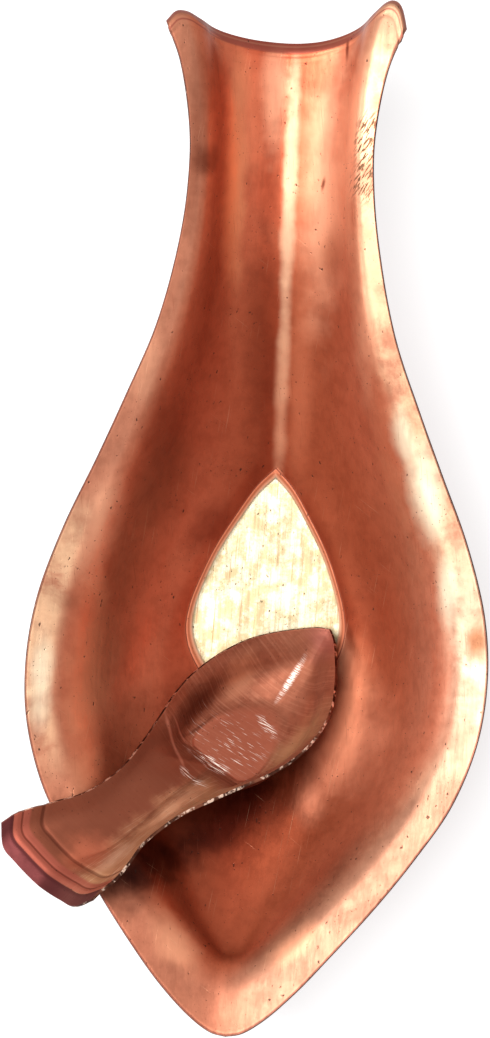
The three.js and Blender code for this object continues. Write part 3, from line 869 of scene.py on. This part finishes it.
def vesselInside():
    paint = Paint("vesselCopperInside", 90)
    stains = paint.grain(70, 5, 0.6, warp=0.6)
    brushed = paint.grain(1, 4, 0.6, place=paint.stretched((900, 30, 900)))
    streaks = paint.grain(1, 3, 0.5, place=paint.stretched((160, 9, 160)))
    across, along = paint.apart()
    up, flat = paint.attribute("upProfile"), paint.attribute("footFlat")
    front, right = paint.span(along, *zones["front"]), paint.span(across, *zones["right"])
    raised = paint.reckon("ADD", up, paint.times(front, zones["frontRaised"]))
    turning = paint.times(paint.span(up, *zones["turnFoot"]), paint.span(raised, *zones["turnTop"], 1, 0))
    higher = paint.reckon("ADD", up, paint.times(right, zones["rightRaised"]))
    masks = {"across": across, "along": along, "up": up, "higher": higher, "front": front, "right": right,
             "turning": turning}
    color = paint.ground(paint.grain(18, 4, 0.5), stains, (copper["dark"], copper["red"], copper["brown"]),
                         (0.52, 0.75, 0, 0.4))
    color = paint.blend(paint.span(streaks, 0.5, 0.72, 0, 0.2), color, copper["red"])
    color = vesselBands(paint, color, masks)
    # marks of painted light, painted shade and the spoon's painted shadow, and a few stains
    color, dull = paint.marked(color, vesselMarks)
    dull = paint.most(dull, paint.span(turning, 0, 1, 0.3, 0.55))
    stepped = paint.times(paint.span(flat, 0, 0.05), paint.span(flat, 0.7, 0.95, 0.8, 0))
    dull = paint.most(paint.times(dull, paint.span(flat, 0.2, 1, 1, 0)), stepped)
    color = vesselFoot(paint, color, flat, stepped)
    color, bright = vesselScratches(paint, color)
    color = vesselEdges(paint, color, flat, up)
    pits = paint.span(paint.grain(1, 2, 0.5, place=paint.stretched((750, 420, 750))), 0.7, 0.76)
    pits = paint.most(pits, paint.specks(1500, stains))
    color = paint.blend(paint.times(pits, 0.8), color, copper["pit"])
    rough = paint.reckon("ADD", paint.span(stains, 0.3, 0.7, 0.33, 0.46),
                         paint.span(brushed, 0.35, 0.65, -0.04, 0.05))
    return paint.finish(color, paint.reckon("SUBTRACT", 1, dull), rough,
                        (brushed, 0.00004, 0.5), (paint.grain(1400, 3, 0.6), 0.00003, 0.3),
                        (pits, -0.0001, 0.5), (bright, -0.00003, 0.5))


def vesselOutside():
    paint = Paint("vesselCopperOutside", 90)
    stains = paint.grain(80, 5, 0.6, warp=0.6)
    brushed = paint.grain(1, 4, 0.6, place=paint.stretched((700, 40, 700)))
    color = paint.ground(paint.grain(20, 4, 0.5), stains, (copper["dark"], copper["red"], copper["brown"]),
                         (0.5, 0.75, 0, 0.6))
    return paint.finish(color, 1, paint.span(stains, 0.3, 0.7, 0.36, 0.5),
                        (brushed, 0.00004, 0.5), (paint.grain(1200, 3, 0.6), 0.00004, 0.3))


edgeCopper = {"dark": (0.05, 0.018, 0.012), "light": (0.2, 0.07, 0.04), "edgeGlint": (0.75, 0.52, 0.4)}


# the cut edge: mottled dark and light, with bright specks that are painted glints where the edge catches
# the light
def cutEdge(name, glints, dull):
    paint = Paint(name, 160)
    wearAndSheen = paint.grain(160, 4, 0.6)
    color = paint.blend(paint.span(wearAndSheen, 0.4, 0.62), edgeCopper["dark"], edgeCopper["light"])
    rubbedAndGleam = paint.span(paint.grain(420, 4, 0.6), 0.64 - glints, 0.74 - glints)
    color = paint.blend(rubbedAndGleam, color, edgeCopper["edgeGlint"])
    rough = paint.span(wearAndSheen, 0.3, 0.7, 0.35 + 0.3 * dull, 0.55 + 0.3 * dull)
    return paint.finish(color, 1 - dull, rough, (paint.grain(900, 3, 0.6), 0.00005, 0.4))


# the spoon's colours; the neck's shaded half and lit flank are painted shade and painted light, the
# brightest is for scratches and painted highlights, and the lip and underside are near black as painted
# shade
spoonCopper = {
    "dark": (0.22, 0.063, 0.033),
    "light": (0.28, 0.088, 0.048),
    "stain": (0.24, 0.065, 0.035),
    "crossed": (0.4, 0.16, 0.095),
    "panel": (0.4, 0.115, 0.065),
    "neckShade": (0.2, 0.055, 0.029),
    "litFlank": (0.5, 0.24, 0.12),
    "combed": (0.9, 0.66, 0.46),
    "rubbedAndGleam": (0.95, 0.84, 0.74),
    "band": (0.35, 0.085, 0.055),
    "lip": (0.07, 0.014, 0.015),
    "underDark": (0.1, 0.03, 0.018),
    "underLight": (0.16, 0.05, 0.03),
    "underStain": (0.06, 0.02, 0.014),
}

# the spoon's upper side, its rows as in vesselMarks: painted shade and painted light on the bowl's walls,
# painted light and painted highlights on the neck's flank and along the crease behind the panel, painted
# shade along the panel's left edge, and the tones of the bowl's front, tip and neck
spoonMarks = [
    # painted shade on the bowl's upper-left wall
    ((16.5, 4), (4, 11), 4, "MULTIPLY", copper["shade"], 0.8, 0),
    # the bowl's front tone, painted light on its lower-right wall, lighter near its upper-left rim, the
    # tip's tone
    ((0, -24), (13, 20), 0, "MIX", (0.28, 0.1, 0.055), 0.5, 0),
    ((-15, -6), (6, 18), 0, "MIX", (0.5, 0.28, 0.14), 0.6, 0.2),
    ((13.5, -11), (4.5, 9), 0, "MIX", (0.5, 0.2, 0.11), 0.6, 0.3),
    ((0, -35), (8, 6), 0, "MIX", (0.3, 0.09, 0.07), 0.6, 0),
    # lighter on the neck's upper side, a painted highlight and painted light on its lower-right flank
    ((2, 67), (8, 10), 0, "MIX", (0.46, 0.125, 0.065), 0.8, 0.2),
    ((-5, 62), (3, 9), 0, "MIX", (0.7, 0.42, 0.28), 0.5, 0.4),
    ((-5, 38), (4, 17), 0, "MIX", (0.75, 0.38, 0.22), 0.6, 0.6),
    # painted highlights along the crease behind the panel, painted shade along the panel's left edge
    ((12, 20), (9, 0.8), -24, "MIX", (0.7, 0.3, 0.2), 0.6, 0.3),
    ((13.5, 15), (3.8, 0.6), 0, "MIX", (0.7, 0.3, 0.2), 0.5, 0.3),
    ((12.2, 8), (0.7, 9), -5, "MULTIPLY", copper["shadowAndDark"], 0.5, 0),
]

# where the dashes round the spoon's panel are: place, radii, turn; bright scratches that also stand for
# painted highlights on its edges
spoonDashes = [((1.6, 15.2), (10, 2.4), 8), ((-1, 24.6), (5, 1.6), 0), ((-2, -6.8), (6, 2), -8)]

# the dark grooves across the spoon's tail: millimetres from its end, and width
spoonGrooves = [(6.8, 0.45), (12.8, 0.8)]


# bright scratches on the spoon's panel and round it, which also stand for painted highlights there, and a
# painted highlight towards the tip
def spoonScratchesAndGleam(paint):
    dashes = paint.strokes(*scratches["spoonDashes"])
    rubbedAndGleam = paint.times(paint.strokes(*scratches["spoonSparse"]), paint.patch((1, 6), (15, 11), 0, 0.2))
    for place, radii, turn in spoonDashes:
        rubbedAndGleam = paint.most(rubbedAndGleam, paint.times(dashes, paint.patch(place, radii, turn, 0.3, 0.7)))
    gleam = paint.times(paint.strokes(*scratches["spoonGleam"]), paint.patch((2.2, -22), (1.3, 8), 6, 0.1))
    return paint.most(rubbedAndGleam, gleam)


# the red band, the lip painted nearly black as painted shade where it turns down, and painted shade in the
# grooves at the spoon's tail
def spoonTail(paint, color):
    fromEnd = paint.attribute("fromEnd")
    band = paint.times(paint.span(fromEnd, 3.8, 4.4), paint.span(fromEnd, 8.6, 9.8, 1, 0))
    color = paint.blend(paint.times(band, 0.85), color, spoonCopper["band"])
    color = paint.blend(paint.span(fromEnd, 3.9, 4.3, 0.95, 0), color, spoonCopper["lip"])
    for place, width in spoonGrooves:
        groove = paint.lineAt(fromEnd, place, (0.3 * width, width), 0.6)
        color = paint.blend(groove, color, copper["shadowAndDark"], "MULTIPLY")
    return color


def spoonUpper():
    paint = Paint("spoonCopperUpper", 180)
    stains = paint.grain(170, 5, 0.6, warp=0.6)
    crossed = paint.strokes(*scratches["spoonCross"])
    across, along = paint.apart()
    # the neck's upper-left half painted dark and its lower-right flank painted golden: painted shade and
    # painted light across the channel
    neck = paint.span(along, 0.016, 0.026)
    wavy = paint.reckon("ADD", across, paint.times(paint.wander, 0.0015))
    neckShade = paint.times(neck, paint.span(wavy, -0.005, 0.004))
    litFlank = paint.times(neck, paint.span(wavy, -0.006, 0.003, 1, 0))
    tones = (spoonCopper["dark"], spoonCopper["light"], spoonCopper["stain"])
    color = paint.ground(paint.grain(55, 4, 0.5), stains, tones, (0.5, 0.75, 0, 0.4))
    color = paint.blend(paint.span(crossed, 0.45, 0.9, 0, 0.35), color, spoonCopper["crossed"])
    cloudy = paint.span(paint.grain(420, 5, 0.65), 0.42, 0.66, 0, 0.35)
    color = paint.blend(cloudy, color, copper["shade"], "MULTIPLY")
    panel = paint.span(paint.attribute("footFlat"), 0.2, 1, 0, 0.6)
    color = paint.blend(panel, color, spoonCopper["panel"])
    color = paint.blend(paint.times(neckShade, 0.9), color, spoonCopper["neckShade"])
    color = paint.blend(paint.times(litFlank, 0.8), color, spoonCopper["litFlank"])
    color, dull = paint.marked(color, spoonMarks)
    combed = paint.times(paint.strokes(*scratches["spoonCombed"]), litFlank)
    color = paint.blend(paint.times(combed, 0.35), color, spoonCopper["combed"])
    # bright scratches and painted highlights
    rubbedAndGleam = spoonScratchesAndGleam(paint)
    color = paint.blend(rubbedAndGleam, color, spoonCopper["rubbedAndGleam"])
    dull = paint.most(paint.most(dull, paint.span(neck, 0, 1, 0.45, 0.35)), paint.times(rubbedAndGleam, 0.5))
    color = spoonTail(paint, color)
    color = paint.blend(paint.times(paint.specks(1300, stains), 0.8), color, copper["pit"])
    satin = paint.times(paint.patch((2.5, -24), (5, 12), 6, 0.1), 0.14)
    rough = paint.reckon("ADD", paint.span(stains, 0.3, 0.7, 0.4, 0.52), satin)
    return paint.finish(color, paint.reckon("SUBTRACT", 1, dull), rough,
                        (crossed, 0.00001, 0.3), (paint.grain(1800, 3, 0.6), 0.00003, 0.3),
                        (rubbedAndGleam, 0.00003, 0.4))


# the spoon's underside, nearly black: painted shade that keeps the copper beneath the spoon dark
def spoonUnder():
    paint = Paint("spoonCopperUnder", 180)
    stains = paint.grain(170, 5, 0.6, warp=0.6)
    tones = (spoonCopper["underDark"], spoonCopper["underLight"], spoonCopper["underStain"])
    color = paint.ground(paint.grain(55, 4, 0.5), stains, tones, (0.5, 0.75, 0, 0.5))
    return paint.finish(color, 1, paint.span(stains, 0.3, 0.7, 0.42, 0.55),
                        (paint.strokes(*scratches["spoonCross"]), 0.00003, 0.4),
                        (paint.grain(1800, 3, 0.6), 0.00003, 0.3))


for sheet, finishes in (
        (koshaSheet, (vesselInside(), vesselOutside(), cutEdge("vesselCutEdge", 0, 0.8))),
        (kushiSheet, (spoonUpper(), spoonUnder(), cutEdge("spoonCutEdge", 0.13, 0)))):
    for finish in finishes:
        sheet.data.materials.append(finish)
print("copper finishes made")

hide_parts("kosha_vessel")
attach(koshaSheet, "kosha")
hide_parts("kushi_spoon")
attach(kushiSheet, "kushi")


studio = {
    "ambient": 0.15,
    "floorSize": 3,
    "floorShade": 0.35,  # how much of the floor's white comes from the lamps
    "floorGlow": 0.8,
    "floorDrop": 0.1 * mm,  # keeps the foot's underside out of the floor's plane
}


# 1 for the rays that see the surroundings white, 0 for those that only light the object
def whiteWhereSeen(nodes, links):
    rays = nodes.new("ShaderNodeLightPath")
    seen = rays.outputs["Is Camera Ray"]
    for kind in ("Is Glossy Ray", "Is Transmission Ray"):
        either = nodes.new("ShaderNodeMath")
        either.operation = "MAXIMUM"
        links.new(seen, either.inputs[0])
        links.new(rays.outputs[kind], either.inputs[1])
        seen = either.outputs[0]
    return seen


def addWorld():
    world = bpy.data.worlds.new("studioWorld")
    scene.world = world
    world.use_nodes = True
    nodes, links = world.node_tree.nodes, world.node_tree.links
    background = nodes["Background"]
    background.inputs["Color"].default_value = (1, 1, 1, 1)
    strength = nodes.new("ShaderNodeMapRange")
    links.new(whiteWhereSeen(nodes, links), strength.inputs["Value"])
    strength.inputs["To Min"].default_value = studio["ambient"]
    strength.inputs["To Max"].default_value = 1
    links.new(strength.outputs["Result"], background.inputs["Strength"])


def addFloor():
    body = bmesh.new()
    bmesh.ops.create_grid(body, x_segments=1, y_segments=1, size=studio["floorSize"])
    mesh = bpy.data.meshes.new("studioFloor")
    body.to_mesh(mesh)
    body.free()
    floor = bpy.data.objects.new("studioFloor", mesh)
    scene.collection.objects.link(floor)
    floor.location.z = -studio["floorDrop"]
    material = bpy.data.materials.new("paleFloor")
    material.use_nodes = True
    nodes, links = material.node_tree.nodes, material.node_tree.links
    nodes.remove(nodes["Principled BSDF"])
    matt = nodes.new("ShaderNodeBsdfDiffuse")
    matt.inputs["Color"].default_value = (studio["floorShade"],) * 3 + (1,)
    glow = nodes.new("ShaderNodeEmission")
    links.new(whiteWhereSeen(nodes, links), glow.inputs["Strength"])
    glow.inputs["Color"].default_value = (studio["floorGlow"],) * 3 + (1,)
    both = nodes.new("ShaderNodeAddShader")
    links.new(matt.outputs[0], both.inputs[0])
    links.new(glow.outputs[0], both.inputs[1])
    links.new(both.outputs[0], nodes["Material Output"].inputs["Surface"])
    mesh.materials.append(material)


lamps = {
    "overhead": {"from": (-0.46, 0.15, 1.5), "size": (0.8, 1.1), "power": 34},
    "windowLeft": {"from": (-1.3, 0, 0.45), "size": (0.8, 0.75), "power": 6},
}


def addLamp(name, settings):
    data = bpy.data.lights.new(name, "AREA")
    data.shape = "RECTANGLE"
    data.size, data.size_y = settings["size"]
    data.energy = settings["power"]
    lamp = bpy.data.objects.new(name, data)
    scene.collection.objects.link(lamp)
    lamp.location = settings["from"]
    lamp.rotation_euler = (-Vector(settings["from"])).to_track_quat("-Z", "Y").to_euler()
    lamp.visible_camera = False


addWorld()
addFloor()
for lampName, lampSettings in lamps.items():
    addLamp(lampName, lampSettings)
print("studio lit")
